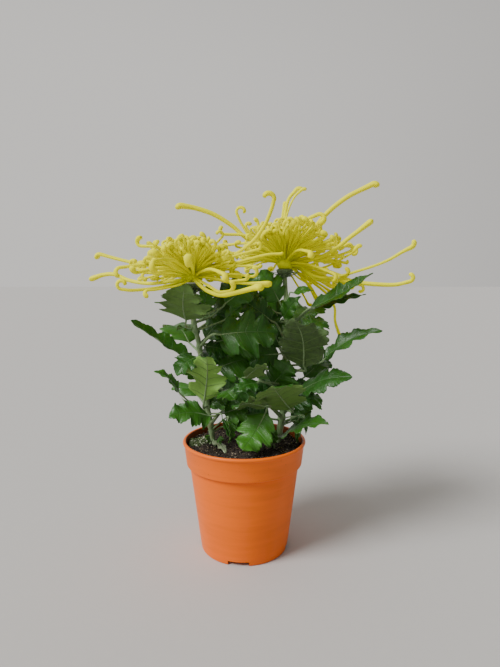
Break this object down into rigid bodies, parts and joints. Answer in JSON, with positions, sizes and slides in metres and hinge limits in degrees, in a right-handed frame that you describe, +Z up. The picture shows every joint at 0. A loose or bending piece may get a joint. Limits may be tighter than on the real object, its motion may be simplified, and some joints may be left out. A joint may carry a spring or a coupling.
{
  "type": "potted spider chrysanthemum",
  "caption": "Spider chrysanthemum house plant in a round nursery pot: lobed green leaves on upright stems, yellow blooms of long tubular florets with hooked tips.",
  "frame": {"origin": "on the pot's axis, at the surface that the pot stands on", "axes": "+Z up through the plant, +X to the right as seen from the front, +Y away from the front"},
  "size_m": [0.3122, 0.2331, 0.3552],
  "materials": {
    "pot_plastic": "satin moulded polypropylene",
    "potting_soil": "matt crumbly peat with pale perlite",
    "foliage": "semi-gloss upper side, matt downy underside",
    "petals": "satin, slightly translucent"
  },
  "bodies": {
    "root": {"pot": "pot_plastic", "soil": "potting_soil", "stem_left": "foliage", "stem_right": "foliage", "bloom_left": "petals", "bloom_right": "petals"}
  },
  "joints": []
}
